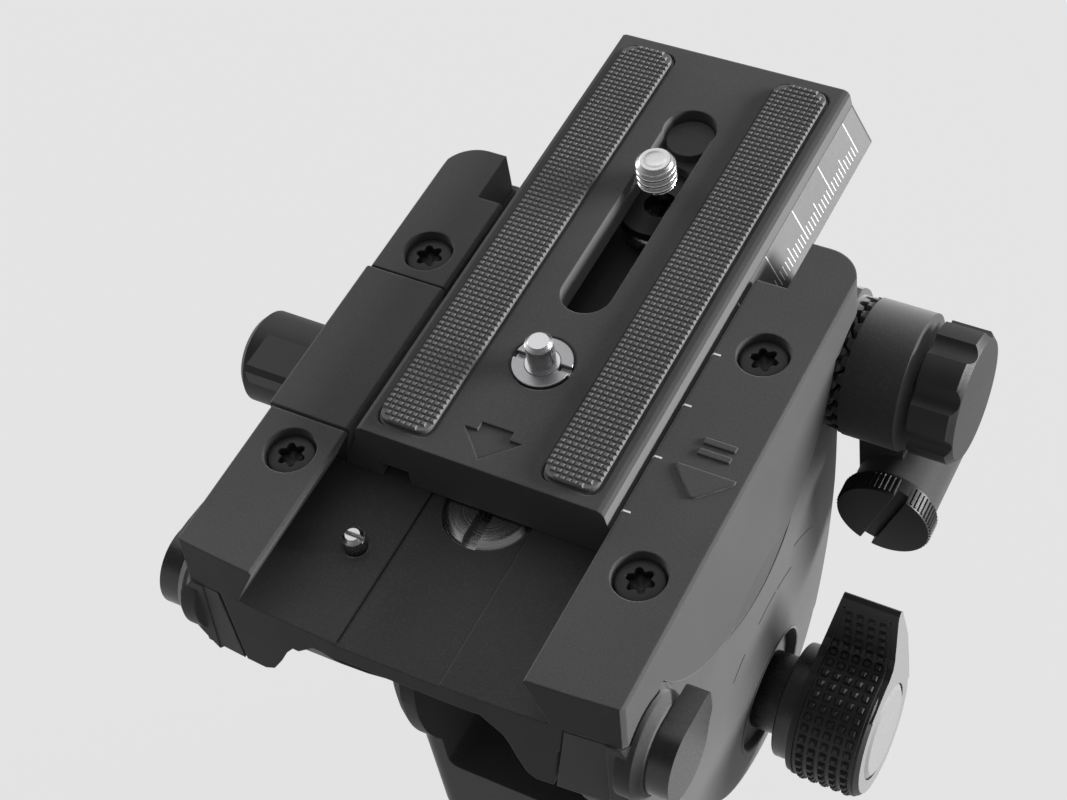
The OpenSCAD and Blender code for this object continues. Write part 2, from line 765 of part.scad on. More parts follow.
module plug_2d() {
  union() {
    circle(r = 6.4);
    polygon([[0, 0], [-1, 6.3], [3.4, 6.1], [7.4, 5.6], [8, 5], [8, 1.2], [6.9, -0.6], [6.2, -1.6]]);
  }
}

module plug() {
  union() {
    xbar(arm_out - 3.6, arm_out + 1.8, 0, 0, plug_r);
    along_x(arm_out + 1.6, arm_out + 5) plug_2d();
  }
}

module front_plug_right() {
  color(black) translate([0, -boss_y, zt + boss_z]) plug();
}

module front_plug_left() {
  color(black) mirror([1, 0, 0]) translate([0, -boss_y, zt + boss_z]) plug();
}

// TILT LOCK KNOB

module wing_2d() {
  r = tilt_knob_r;
  w = tilt_wing;
  polygon([[-4.5, r * 0.9], [0, r + 0.1], [2.6, r + 0.5], [4.1, r + 1.4], [4.8, r + 3], [6.1, w - 1.4],
    [6.5, w - 0.4], [7.2, w], [7.9, w - 0.9], [10, w - 10], [r - 0.1, r * 0.5], [r, 0], [0, 0]]);
}

module tilt_knob_core() {
  color(black) difference() {
    union() {
      xbar(arm_out - 1.6, knob_x0 + 0.1, 0, zt, 6.5);
      xbar(knob_x0, knob_x1 - 0.02, 0, zt, tilt_knob_r - 1.3);
      xbar(knob_x1 - 0.1, knob_x2 - 2.6, 0, zt, 8.4);
    }
    xbar(0, knob_x1 + 0.3, 0, zt, axle_r + run);
  }
}

module tilt_knob_grip() {
  color(rubber) difference() {
    union() {
      xbar(knob_x1, knob_x2 - 0.6, 0, zt, tilt_knob_r);
      xcone(knob_x2 - 0.61, knob_x2, 0, zt, tilt_knob_r, tilt_knob_r - 0.6);
      translate([0, 0, zt]) along_x(knob_x1, knob_x2) wing_2d();
    }
    xbar(knob_x1 - 1, knob_x2 - 2.5, 0, zt, 8.4 + fit);
    xbar(knob_x2 - 2.6, knob_x2 + 1, 0, zt, 8 + fit);
    along_y(-40, 40) polygon([[knob_x1 - 2, zt + tilt_knob_r + 1], [knob_x1, zt + tilt_knob_r + 1],
      [knob_x1 + 2.9, zt + tilt_wing + 0.1], [knob_x1 + 2.9, zt + 60], [knob_x1 - 2, zt + 60]]);
  }
}

module tilt_knob_cap() {
  color(grey) union() {
    xbar(knob_x2 - 2.5, knob_x2 - 0.3, 0, zt, 8);
    xcone(knob_x2 - 0.31, knob_x2 + 0.3, 0, zt, 8, 7);
  }
}

// PAN LOCK KNOB

module at_pan_knob() {
  rotate([0, 0, 90]) translate([0, 0, pan_knob_z]) children();
}

module pan_knob_core() {
  k = pan_knob_y;
  color(black) at_pan_knob() union() {
    xbar(boss_r + 5.7, k + 0.1, 0, 0, 2.5);
    xbar(k - 0.3, k + 2.1, 0, 0, 6.5);
    xbar(k + 2, k + 9.5, 0, 0, 5.5);
  }
}

module pan_knob_grip() {
  k = pan_knob_y;
  color(rubber) at_pan_knob() difference() {
    union() {
      xbar(k + 2.12, k + 10.1, 0, 0, pan_knob_r);
      xcone(k + 10.09, k + 11.1, 0, 0, pan_knob_r, pan_knob_r - 1);
    }
    xbar(k, k + 9.6, 0, 0, 5.5 + fit);
    xbar(k + 9.5, k + 13, 0, 0, 5 + fit);
    for (a = [0 : 45 : 315]) rotate([a, 0, 0]) xbar(k, k + 20, 0, pan_knob_r + 2, 2.9);
  }
}

module pan_knob_cap() {
  k = pan_knob_y;
  color(grey) at_pan_knob() union() {
    xbar(k + 9.6, k + 10.9, 0, 0, 5);
    xcone(k + 10.89, k + 11.4, 0, 0, 5, 4.2);
  }
}

// PAN BAR BRACKET

module pan_bar_bracket() {
  color(black) difference() {
    union() {
      translate([0, ros_y, zt + ros_z]) {
        xbar(bx, bx1, 0, 0, bracket_r);
        for (k = [0 : teeth - 1]) rotate([(k + 0.5) * 360 / teeth, 0, 0]) translate([0, 0, ros_r - 4])
          linear_extrude(height = 4.2) polygon([[bx + 0.1, -0.95], [bx - tooth_h, -0.5],
            [bx - tooth_h, 0.5], [bx + 0.1, 0.95]]);
      }
      ybar(lug_y0, lug_y1, lug_x, lug_z, lug_r);
      span([bx + 1.6, ros_y - 6.5, lug_z], [bx1, ros_y + 6.5, zt + ros_z - 6]);
    }
    xbar(0, 90, ros_y, zt + ros_z, 3 + gap);
    ybar(lug_y0 + 5, lug_y1 + 1, lug_x, lug_z, bar_r + run);
    ybar(lug_y0 - 1, lug_y0 + 6, lug_x, lug_z, 2.5 + run);
  }
}

module bracket_knob() {
  color(rubber) translate([0, ros_y, zt + ros_z]) difference() {
    union() {
      xbar(bx1 + 0.6, bx1 + 2, 0, 0, 6);
      xbar(bx1 + 1.9, bx1 + 8, 0, 0, bracket_knob_r);
      xcone(bx1 + 7.99, bx1 + 9, 0, 0, bracket_knob_r, bracket_knob_r - 1);
    }
    xbar(0, bx1 + 6.1, 0, 0, 3 + fit);
    for (a = [0 : 45 : 315]) rotate([a, 0, 0]) xbar(bx1 + 1, bx1 + 20, 0, bracket_knob_r + 2, 2.9);
  }
}

module bracket_bolt() {
  color(steel) xbar(arm_in + 4, bx1 + 6, ros_y, zt + ros_z, 3);
}

module bar_thumbscrew() {
  color(black) difference() {
    union() {
      ybar(lug_y0 - 0.4 - thumb_d, lug_y0 - 0.4, lug_x, lug_z, thumb_r);
      ybar(lug_y0 - 0.5, lug_y0 + 4.8, lug_x, lug_z, 2.5);
    }
    translate([lug_x, 0, lug_z]) rotate([0, 22, 0])
      span([-0.95, lug_y0 - 9, -20], [0.95, lug_y0 - thumb_d + 0.9, 20]);
  }
}

// SLIDING PLATE

module plate_2d() {
  t = plate_top_w / 2;
  f = plate_foot_w / 2;
  z = plate_z;
  h = plate_t;
  polygon([[-f + 0.4, z], [f - 0.4, z], [f, z + 0.5], [t + 1.1, z + h - 2.8], [t + 0.8, z + h - 0.9],
    [t + 0.45, z + h - 0.3], [t - 0.2, z + h], [-t + 0.2, z + h], [-t - 0.45, z + h - 0.3],
    [-t - 0.8, z + h - 0.9], [-t - 1.1, z + h - 2.8], [-f, z + 0.5]]);
}

// arrow that points to the lens side, from its tip
module arrow_2d() {
  polygon([[0, 0], [4.7, 4.7], [2.6, 4.7], [2.6, 6.2], [-2.6, 6.2], [-2.6, 4.7], [-4.7, 4.7]]);
}

module slot_2d(r, y0, y1) {
  union() {
    translate([0, y0]) circle(r = r);
    translate([0, y1]) circle(r = r);
    translate([-r, y0]) square([2 * r, y1 - y0]);
  }
}

module pad_2d(shrink) {
  r = 2;
  w = pad_w - 2 * shrink;
  l = pad_l - 2 * shrink;
  union() {
    translate([-w / 2 + r, -l / 2]) square([w - 2 * r, l]);
    translate([-w / 2, -l / 2 + r]) square([w, l - 2 * r]);
    for (s = [-1, 1]) for (t = [-1, 1]) translate([s * (w / 2 - r), t * (l / 2 - r)]) circle(r = r);
  }
}

module quick_plate() {
  y0 = plate_y - plate_l / 2;
  y1 = plate_y + plate_l / 2;
  color(black) difference() {
    along_y(y0, y1) plate_2d();
    translate([0, 0, plate_z - 1]) linear_extrude(height = plate_t + 2)
      slot_2d(slot_w / 2, y_slot + slot_w / 2, y_slot + slot_l);
    translate([0, 0, plate_z - 1]) linear_extrude(height = 6.2)
      slot_2d(head_r + 0.4, y_slot + slot_w / 2, y_slot + slot_l + 0.6);
    difference() {
      union() {
        translate([0, 0, plate_top - 3.5]) linear_extrude(height = 5)
          slot_2d(slot_w / 2, y_slot + slot_l - 1, y_cup);
        zbar(plate_top - 3.5, plate_top + 1, 0, y_cup, cup_r);
      }
      zbar(plate_top - 4, plate_top - 1.9, 0, y_cup, cup_r - 0.5);
    }
    translate([-0.5, y0 + 1.6, plate_top - 0.35]) linear_extrude(height = 1) arrow_2d();
    zbar(plate_top - 2, plate_top + 1, 0, y_pin, pin_r + 2.5);
    zcone(plate_top - 0.6, plate_top + 0.01, 0, y_pin, pin_r + 2.45, pin_r + 3);
    zbar(plate_z + 0.8, plate_top, 0, y_pin, pin_r + 1.1);
    for (s = [-1, 1]) translate([s * pad_x, plate_y, pad_z]) linear_extrude(height = 3) pad_2d(0);
    span([safe_x - 2.5, y0 - 1, plate_z - 1], [safe_x + 2.5, y1 - 11, plate_z + 3.2]);
  }
}

module grip_pad_right() {
  color(rubber) translate([pad_x, plate_y, pad_z + 0.02])
    linear_extrude(height = 1.2 + pad_up) pad_2d(0.25);
}

module grip_pad_left() {
  color(rubber) translate([-pad_x, plate_y, pad_z + 0.02])
    linear_extrude(height = 1.2 + pad_up) pad_2d(0.25);
}

module video_pin_bush() {
  color(steel) difference() {
    zbar(plate_top - 1.98, plate_top + 0.25, 0, y_pin, pin_r + 2.5 - fit);
    zbar(plate_top - 5, plate_top + 5, 0, y_pin, guide_r + run);
    span([-10, y_pin - 0.6, plate_top - 0.6], [10, y_pin + 0.6, plate_top + 2]);
  }
}

module video_pin_spring() {
  color(steel) translate([0, y_pin, plate_z + 0.82]) coil(pin_r + 0.3, 0.3, (plate_t - 5.22 - 0.65) / 3, 3);
}

module video_pin() {
  color(steel) union() {
    zbar(plate_top - 4.4, plate_top + 0.2, 0, y_pin, guide_r);
    zbar(plate_top, plate_top + pin_up - 0.6, 0, y_pin, pin_r);
    zcone(plate_top + pin_up - 0.61, plate_top + pin_up, 0, y_pin, pin_r, pin_r - 0.6);
    zbar(plate_top - 4.4, plate_top - 2.6, 0, y_pin, pin_r + 0.8);
  }
}

module screw_collar() {
  color(brass) difference() {
    zbar(plate_z + 3.5, plate_z + 5.1, 0, y_cam, head_r - 0.2);
    zbar(plate_z, plate_top, 0, y_cam, neck_r + run);
  }
}

module camera_screw() {
  color(steel) difference() {
    union() {
      zbar(plate_z + 0.5, plate_z + 3.3, 0, y_cam, head_r);
      zbar(plate_z + 3, plate_top + 1, 0, y_cam, neck_r);
      zbar(plate_top + 0.05, plate_top + cam_up - 0.7, 0, y_cam, cam_r);
      zcone(plate_top + cam_up - 0.71, plate_top + cam_up, 0, y_cam, cam_r, cam_r - 0.7);
    }
    span([-0.8, y_cam - 20, plate_z], [0.8, y_cam + 20, plate_z + 1.7]);
  }
}

base_plate();
base_pad();
tripod_insert();
pan_spindle();
pan_nut();
pan_drag_rotor();
pan_housing();
pan_drag_stator();
pan_bush();
pan_brake_shoe();
level_ring();
level_vial();
tilt_bushes();
tilt_damper_case();
tilt_damper_cover();
tilt_drag_plates();
damper_screws();
counterbalance_spring();
platform();
side_arm_right();
side_arm_left();
arm_screws();
centre_bolt();
tilt_axle();
axle_cap();
tilt_damper_rotor();
rosette_right();
rosette_left();
safety_cup();
safety_spring();
safety_pin();
clamp_jaw();
jaw_guide_pins();
jaw_spring();
plate_lock_knob();
plate_lock_screw();
front_plug_right();
front_plug_left();
tilt_knob_core();
tilt_knob_grip();
tilt_knob_cap();
pan_knob_core();
pan_knob_grip();
pan_knob_cap();
pan_bar_bracket();
bracket_knob();
bracket_bolt();
bar_thumbscrew();
quick_plate();
grip_pad_left();
grip_pad_right();
video_pin_bush();
video_pin_spring();
video_pin();
screw_collar();
camera_screw();
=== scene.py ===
"""Looks of a fluid video head: finishes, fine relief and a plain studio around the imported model.

Sizes are in millimetres, in the part's own frame, and become metres in piece().
"""

import math

import bmesh
import bpy
from mathutils import Matrix, Vector


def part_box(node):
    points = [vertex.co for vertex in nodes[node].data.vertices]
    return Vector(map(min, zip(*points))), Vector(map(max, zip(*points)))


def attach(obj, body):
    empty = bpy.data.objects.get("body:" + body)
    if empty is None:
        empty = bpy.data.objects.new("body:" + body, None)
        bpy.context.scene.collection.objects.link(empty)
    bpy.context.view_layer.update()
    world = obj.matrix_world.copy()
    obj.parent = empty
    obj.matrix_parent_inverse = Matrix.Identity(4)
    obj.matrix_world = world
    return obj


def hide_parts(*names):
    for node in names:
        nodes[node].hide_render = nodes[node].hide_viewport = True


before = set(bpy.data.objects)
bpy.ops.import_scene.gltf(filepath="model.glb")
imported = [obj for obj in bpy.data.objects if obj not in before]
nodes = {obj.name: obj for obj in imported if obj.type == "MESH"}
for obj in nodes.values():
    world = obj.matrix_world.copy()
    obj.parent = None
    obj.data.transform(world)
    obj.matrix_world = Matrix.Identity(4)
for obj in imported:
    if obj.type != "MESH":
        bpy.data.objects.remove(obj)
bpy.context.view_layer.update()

MM = 0.001
TURN = 2 * math.pi


def low(node):
    """Lowest corner of a node at rest, in millimetres."""
    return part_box(node)[0] / MM


def high(node):
    """Highest corner of a node at rest, in millimetres."""
    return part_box(node)[1] / MM


def middle(node):
    return (low(node) + high(node)) / 2


RAIL_TOP = high("platform").z
PLATE_TOP = high("quick_plate").z
PLATE_FOOT = low("quick_plate").z
PLATE_BACK = high("quick_plate").y
FOOT_HALF = high("quick_plate").x
TILT_Z = middle("tilt_axle").z


# MATERIALS

COAT_ROUGHNESS = 0.15
SHEEN_ROUGHNESS = 0.5
CLOUD_SIZE = 22
LATHE_MARK = 0.25
SPECKLE_TONE = 2.2
# lighter tone of edges, for wear and for a painted highlight
WEAR_AND_HIGHLIGHT_TONE = 3.5
EDGE_ROUND_RADIUS = 0.35
FACE_COSINE = (0.88, 0.96)
WEAR_AND_HIGHLIGHT_COSINE = (0.985, 0.85)
NOISE_MIDDLE = (0.3, 0.7)
NOISE_PEAKS = (0.5, 0.75)


def wire(tree, start, end):
    tree.links.new(start, end)


def make(tree, kind, **values):
    """A node with these input values, named as on the node, with _ for a space."""
    node = tree.nodes.new("ShaderNode" + kind)
    for key, value in values.items():
        name = key.replace("_", " ")
        if name in node.inputs:
            node.inputs[name].default_value = value
        else:
            setattr(node, key, value)
    return node


def shade(colour, factor):
    return tuple(min(1.0, c * factor) for c in colour) + (1.0,)


def mix_colours(tree, factor, first, second):
    """Mixes two colours, each a value or an output, by an output."""
    node = make(tree, "Mix", data_type="RGBA")
    wire(tree, factor, node.inputs["Factor"])
    for socket, colour in ((node.inputs[6], first), (node.inputs[7], second)):
        if isinstance(colour, tuple):
            socket.default_value = colour
        else:
            wire(tree, colour, socket)
    return node.outputs[2]


def remap(tree, value, source, target):
    """Maps an output from one range to another."""
    node = make(tree, "MapRange", From_Min=source[0], From_Max=source[1],
                To_Min=target[0], To_Max=target[1])
    wire(tree, value, node.inputs["Value"])
    return node.outputs["Result"]


def finish(name, colour, roughness, metallic=0.0, specular=0.5, grain=0.4, relief=0.02, mottle=0.12,
           speckle=0.2, stretch=(1, 1, 1), edge=0.0, coat=0.0, sheen=0.0, spread=0.07, centre=None,
           face=None):
    """Procedural finish. grain and relief are the size and depth of the fine texture in millimetres,
    mottle and speckle the share by which the colour varies, edge how far edges are made lighter, as
    wear and as a painted highlight, centre a point that lathe marks run round, about the Z axis, face a
    direction and the colour of the faces that look that way."""
    material = bpy.data.materials.new(name)
    material.use_nodes = True
    tree = material.node_tree
    shader = tree.nodes["Principled BSDF"]
    shader.inputs["Metallic"].default_value = metallic
    shader.inputs["Specular IOR Level"].default_value = specular
    shader.inputs["Coat Weight"].default_value = coat
    shader.inputs["Coat Roughness"].default_value = COAT_ROUGHNESS
    shader.inputs["Sheen Weight"].default_value = sheen
    shader.inputs["Sheen Roughness"].default_value = SHEEN_ROUGHNESS

    place = make(tree, "TexCoord")
    scaled = make(tree, "Mapping", Scale=stretch)
    wire(tree, place.outputs["Object"], scaled.inputs["Vector"])
    fine = make(tree, "TexNoise", Scale=1 / (grain * MM), Detail=2.0, Roughness=0.6)
    wire(tree, scaled.outputs["Vector"], fine.inputs["Vector"])
    wide = make(tree, "TexNoise", Scale=1 / (CLOUD_SIZE * MM), Detail=4.0, Roughness=0.55)
    wire(tree, place.outputs["Object"], wide.inputs["Vector"])
    height = fine.outputs["Fac"]

    if centre is not None:
        offset = make(tree, "VectorMath", operation="SUBTRACT")
        offset.inputs[1].default_value = Vector(centre) * MM
        wire(tree, place.outputs["Object"], offset.inputs[0])
        flat = make(tree, "VectorMath", operation="MULTIPLY")
        flat.inputs[1].default_value = (1, 1, 0)
        wire(tree, offset.outputs["Vector"], flat.inputs[0])
        reach = make(tree, "VectorMath", operation="LENGTH")
        wire(tree, flat.outputs["Vector"], reach.inputs[0])
        rings = make(tree, "TexNoise", noise_dimensions="1D", Scale=1 / (LATHE_MARK * MM), Detail=3.0)
        wire(tree, reach.outputs["Value"], rings.inputs["W"])
        height = rings.outputs["Fac"]

    cloud = remap(tree, wide.outputs["Fac"], NOISE_MIDDLE, (0, 1))
    tone = mix_colours(tree, cloud, shade(colour, 1 - mottle), shade(colour, 1 + mottle))
    dots = remap(tree, fine.outputs["Fac"], NOISE_PEAKS, (0, speckle))
    tone = mix_colours(tree, dots, tone, shade(colour, SPECKLE_TONE))

    if face is not None:
        looks = make(tree, "VectorMath", operation="DOT_PRODUCT")
        looks.inputs[1].default_value = face[0]
        wire(tree, place.outputs["Normal"], looks.inputs[0])
        turned = remap(tree, looks.outputs["Value"], FACE_COSINE, (0, 1))
        tone = mix_colours(tree, turned, tone, shade(face[1], 1))

    bump = make(tree, "Bump", Strength=1.0, Distance=relief * MM)
    wire(tree, height, bump.inputs["Height"])
    # painted highlight and wear: where the Bevel node's rounded normal turns away from the true normal, the
    # colour is mixed toward a lighter tone
    if edge:
        rounded = make(tree, "Bevel", Radius=EDGE_ROUND_RADIUS * MM, samples=4)
        geometry = make(tree, "NewGeometry")
        turn = make(tree, "VectorMath", operation="DOT_PRODUCT")
        wire(tree, rounded.outputs["Normal"], turn.inputs[0])
        wire(tree, geometry.outputs["Normal"], turn.inputs[1])
        wear_and_highlight = remap(tree, turn.outputs["Value"], WEAR_AND_HIGHLIGHT_COSINE, (0, edge))
        tone = mix_colours(tree, wear_and_highlight, tone, shade(colour, WEAR_AND_HIGHLIGHT_TONE))
        wire(tree, rounded.outputs["Normal"], bump.inputs["Normal"])

    wire(tree, tone, shader.inputs["Base Color"])
    gloss = remap(tree, height, NOISE_MIDDLE, (roughness - spread, roughness + spread))
    wire(tree, gloss, shader.inputs["Roughness"])
    wire(tree, bump.outputs["Normal"], shader.inputs["Normal"])
    return material


BLACK_CAST = finish("black_cast", (0.054, 0.054, 0.055), 0.52, specular=0.04, grain=0.30, relief=0.012,
                    speckle=0.35, edge=0.25, sheen=0.38)
# painted light: the faces of the plate that look along +X, toward the right-hand lamp, are given a lighter
# grey
PLATE_COAT = finish("plate_coat", (0.053, 0.053, 0.054), 0.52, specular=0.05, grain=0.22, relief=0.009,
                    speckle=0.35, edge=0.3, sheen=0.22, face=((1, 0, 0), (0.15, 0.15, 0.152)))
HOUSING_CAST = finish("housing_cast", (0.080, 0.080, 0.081), 0.50, specular=0.06, grain=0.34, relief=0.012,
                      speckle=0.3, edge=0.25, sheen=0.38)
ARM_CAST = finish("arm_cast", (0.066, 0.066, 0.067), 0.48, specular=0.06, grain=0.34, relief=0.010,
                  edge=0.3, mottle=0.2, speckle=0.3, sheen=0.6)
RUBBER = finish("rubber", (0.016, 0.016, 0.016), 0.52, specular=0.4, grain=0.18, relief=0.006, mottle=0.2)
KNOB_RUBBER = finish("knob_rubber", (0.019, 0.019, 0.019), 0.50, specular=0.4, grain=0.18, relief=0.005,
                     mottle=0.2, face=((1, 0, 0), (0.25, 0.25, 0.255)))
PAD_RUBBER = finish("pad_rubber", (0.115, 0.115, 0.115), 0.60, specular=0.4, grain=0.2, relief=0.006)
BLACK_PLASTIC = finish("black_plastic", (0.016, 0.016, 0.017), 0.32, specular=0.6, grain=0.5, relief=0.006)
GREY_PLASTIC = finish("grey_plastic", (0.27, 0.27, 0.275), 0.32, grain=0.5, relief=0.002, mottle=0.04,
                      speckle=0.02, coat=0.1)
STEEL = finish("steel", (0.58, 0.58, 0.59), 0.24, metallic=1.0, grain=0.5, relief=0.004, mottle=0.05,
               speckle=0.0, stretch=(3, 3, 0.3))
LATHED = finish("lathed_steel", (0.60, 0.60, 0.61), 0.26, metallic=1.0, relief=0.006, mottle=0.06,
                speckle=0.0, centre=middle("centre_bolt"))
BLACK_STEEL = finish("black_steel", (0.020, 0.020, 0.021), 0.40, specular=0.25, grain=0.3, relief=0.006)
SATIN_STEEL = finish("satin_steel", (0.34, 0.34, 0.35), 0.34, metallic=1.0, grain=0.4, relief=0.005,
                     mottle=0.06, speckle=0.0)
BRONZE = finish("bronze", (0.50, 0.36, 0.17), 0.32, metallic=1.0, grain=0.6, relief=0.008, speckle=0.05)
SPRING = finish("spring_wire", (0.45, 0.45, 0.46), 0.30, metallic=1.0, grain=0.3, relief=0.005)
BRAKE = finish("brake_lining", (0.16, 0.13, 0.10), 0.8, grain=0.5, relief=0.04, mottle=0.3)
SPIRIT = finish("spirit", (0.42, 0.62, 0.10), 0.08, grain=2.0, relief=0.0, mottle=0.06, speckle=0.0,
                coat=1.0, spread=0.02)
BUBBLE = finish("bubble", (0.62, 0.74, 0.34), 0.10, grain=2.0, relief=0.0, mottle=0.04, speckle=0.0,
                coat=1.0, spread=0.02)
WHITE_PAINT = finish("white_paint", (0.80, 0.80, 0.80), 0.5, grain=0.25, relief=0.01, mottle=0.05,
                     speckle=0.1)
RULER_GREY = finish("ruler_grey", (0.12, 0.12, 0.122), 0.40, grain=0.3, relief=0.006, mottle=0.1,
                    speckle=0.05)

NODE_FINISHES = {
    BLACK_CAST: ["platform", "clamp_jaw", "pan_bar_bracket"],
    HOUSING_CAST: ["base_plate", "pan_housing"],
    PLATE_COAT: ["quick_plate"],
    ARM_CAST: ["side_arm_right", "side_arm_left", "rosette_right", "rosette_left", "tilt_damper_case",
               "tilt_damper_cover"],
    STEEL: ["tripod_insert", "pan_spindle", "pan_nut", "tilt_axle", "tilt_damper_rotor", "safety_pin",
            "jaw_guide_pins", "plate_lock_screw", "bracket_bolt", "video_pin", "camera_screw",
            "level_ring"],
    LATHED: ["centre_bolt"],
    SATIN_STEEL: ["video_pin_bush", "safety_cup"],
    SPRING: ["counterbalance_spring", "safety_spring", "jaw_spring", "video_pin_spring"],
    BLACK_STEEL: ["arm_screws", "damper_screws", "bar_thumbscrew", "screw_collar"],
    BRONZE: ["pan_drag_rotor", "pan_drag_stator", "pan_bush", "tilt_bushes", "tilt_drag_plates"],
    KNOB_RUBBER: ["tilt_knob_grip"],
    RUBBER: ["base_pad", "pan_knob_grip", "bracket_knob", "plate_lock_knob"],
    PAD_RUBBER: ["grip_pad_left", "grip_pad_right"],
    BRAKE: ["pan_brake_shoe"],
    BLACK_PLASTIC: ["axle_cap", "front_plug_right", "front_plug_left", "tilt_knob_core", "pan_knob_core"],
    GREY_PLASTIC: ["tilt_knob_cap", "pan_knob_cap"],
    SPIRIT: ["level_vial"],
}
for material, names in NODE_FINISHES.items():
    for name in names:
        nodes[name].data.materials.clear()
        nodes[name].data.materials.append(material)


# SOFT EDGES ON THE CAD NODES

EDGE_WIDTHS = {
    0.25: ["platform", "clamp_jaw"],
    0.4: ["pan_housing", "side_arm_right", "side_arm_left"],
    0.35: ["quick_plate", "base_plate", "pan_bar_bracket", "front_plug_right", "front_plug_left"],
    0.8: ["tilt_knob_grip"],
    0.5: ["plate_lock_knob"],
    0.3: ["pan_knob_grip", "bracket_knob", "tilt_knob_core", "pan_knob_core"],
    0.15: ["centre_bolt", "safety_pin", "video_pin", "video_pin_bush", "damper_screws", "axle_cap",
           "tilt_knob_cap", "level_ring", "rosette_right", "rosette_left", "bar_thumbscrew"],
}
WELD_GAP = 0.002
FLAT_ANGLE = 0.4
ROUND_ANGLE = 28


def soften(node, width):
    """Joins the flat facets of a CAD mesh and rounds its edges with modifiers."""
    weld = node.modifiers.new("weld", "WELD")
    weld.merge_threshold = WELD_GAP * MM
    flatten = node.modifiers.new("flatten", "DECIMATE")
    flatten.decimate_type = "DISSOLVE"
    flatten.angle_limit = math.radians(FLAT_ANGLE)
    bevel = node.modifiers.new("bevel", "BEVEL")
    bevel.width = width * MM
    bevel.segments = 3
    bevel.limit_method = "ANGLE"
    bevel.angle_limit = math.radians(ROUND_ANGLE)
    bevel.miter_outer = "MITER_ARC"
    shading = node.modifiers.new("shading", "WEIGHTED_NORMAL")
    shading.keep_sharp = True


for width, names in EDGE_WIDTHS.items():
    for name in names:
        soften(nodes[name], width)


# PIECES


def piece(name, mesh, body, material, smooth=None):
    """Makes an object of a bmesh in millimetres and hangs it on a body. smooth is an angle in degrees."""
    bmesh.ops.recalc_face_normals(mesh, faces=mesh.faces)
    mesh.transform(Matrix.Scale(MM, 4))
    data = bpy.data.meshes.new(name)
    mesh.to_mesh(data)
    mesh.free()
    if smooth is not None:
        data.shade_smooth()
        data.set_sharp_from_angle(angle=math.radians(smooth))
    data.materials.append(material)
    made = bpy.data.objects.new(name, data)
    bpy.context.scene.collection.objects.link(made)
    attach(made, body)
    return made


def add_solid(mesh, bottom, top):
    """Adds a closed solid between two loops of the same number of points."""
    lower = [mesh.verts.new(p) for p in bottom]
    upper = [mesh.verts.new(p) for p in top]
    count = len(lower)
    for i in range(count):
        j = (i + 1) % count
        mesh.faces.new((lower[i], lower[j], upper[j], upper[i]))
    mesh.faces.new(lower[::-1])
    mesh.faces.new(upper)


def add_tube(mesh, loops, close_ends=True):
    """Adds a skin over loops of points, each with the same number of points."""
    rows = [[mesh.verts.new(p) for p in loop] for loop in loops]
    count = len(rows[0])
    for first, second in zip(rows, rows[1:]):
        for i in range(count):
            j = (i + 1) % count
            mesh.faces.new((first[i], first[j], second[j], second[i]))
    if close_ends:
        mesh.faces.new(rows[0][::-1])
        mesh.faces.new(rows[-1])
    return rows


def ring_points(centre, radius, count, height):
    return [Vector((centre[0] + radius * math.cos(TURN * i / count),
                    centre[1] + radius * math.sin(TURN * i / count), height)) for i in range(count)]


def rounded_box(half_x, half_y, radius, steps=6):
    """Outline of a rectangle with round corners, in the plane, from its middle."""
    corners = [(half_x - radius, half_y - radius, 0), (radius - half_x, half_y - radius, 90),
               (radius - half_x, radius - half_y, 180), (half_x - radius, radius - half_y, 270)]
    outline = []
    for x, y, start in corners:
        for k in range(steps + 1):
            a = math.radians(start + 90 * k / steps)
            outline.append((x + radius * math.cos(a), y + radius * math.sin(a)))
    return outline


# grip pads with a grid of small blunt pyramids
PAD_PITCH = 0.98
STUD_HEIGHT = 0.32
PAD_CORNER = 2.0
PAD_STEP = 0.3
STUD_FOOT = 0.48
STUD_TIP = 0.24
SQUARE = [(-1, -1), (1, -1), (1, 1), (-1, 1)]


def grip_pad(node):
    lowest, highest, centre = low(node), high(node), middle(node)
    half = (highest - lowest) / 2
    field = highest.z - STUD_HEIGHT
    mesh = bmesh.new()
    layers = [(0, lowest.z), (0, PLATE_TOP - 0.4), (PAD_STEP, PLATE_TOP - 0.3), (PAD_STEP, field - 0.1),
              (PAD_STEP + 0.1, field)]
    loops = []
    for inset, z in layers:
        outline = rounded_box(half.x - inset, half.y - inset, PAD_CORNER - inset)
        loops.append([(centre.x + x, centre.y + y, z) for x, y in outline])
    add_tube(mesh, loops)
    columns = int(2 * half.x / PAD_PITCH)
    rows = int(2 * half.y / PAD_PITCH)
    for i in range(columns):
        for j in range(rows):
            x = (i - (columns - 1) / 2) * PAD_PITCH
            y = (j - (rows - 1) / 2) * PAD_PITCH
            out_x = abs(x) + PAD_PITCH / 2 - (half.x - PAD_CORNER)
            out_y = abs(y) + PAD_PITCH / 2 - (half.y - PAD_CORNER)
            if out_x > 0 and out_y > 0 and math.hypot(out_x, out_y) > PAD_CORNER:
                continue
            foot = PAD_PITCH * STUD_FOOT
            tip = PAD_PITCH * STUD_TIP
            base = [(centre.x + x + a * foot, centre.y + y + b * foot, field - 0.05) for a, b in SQUARE]
            peak = [(centre.x + x + a * tip, centre.y + y + b * tip, highest.z) for a, b in SQUARE]
            add_solid(mesh, base, peak)
    made = piece(node.replace("grip_pad", "pad_grid"), mesh, "plate", PAD_RUBBER)
    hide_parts(node)


grip_pad("grip_pad_left")
grip_pad("grip_pad_right")


# camera screw: the CAD head and neck, with a cut thread in place of the plain cylinder
THREAD_PITCH = 1.27
THREAD_DEPTH = 0.62
SCREW_RADIUS = 3.175
SCREW_SIDES = 64
SCREW_RINGS = 54
SCREW_FROM_PIN = 38.9


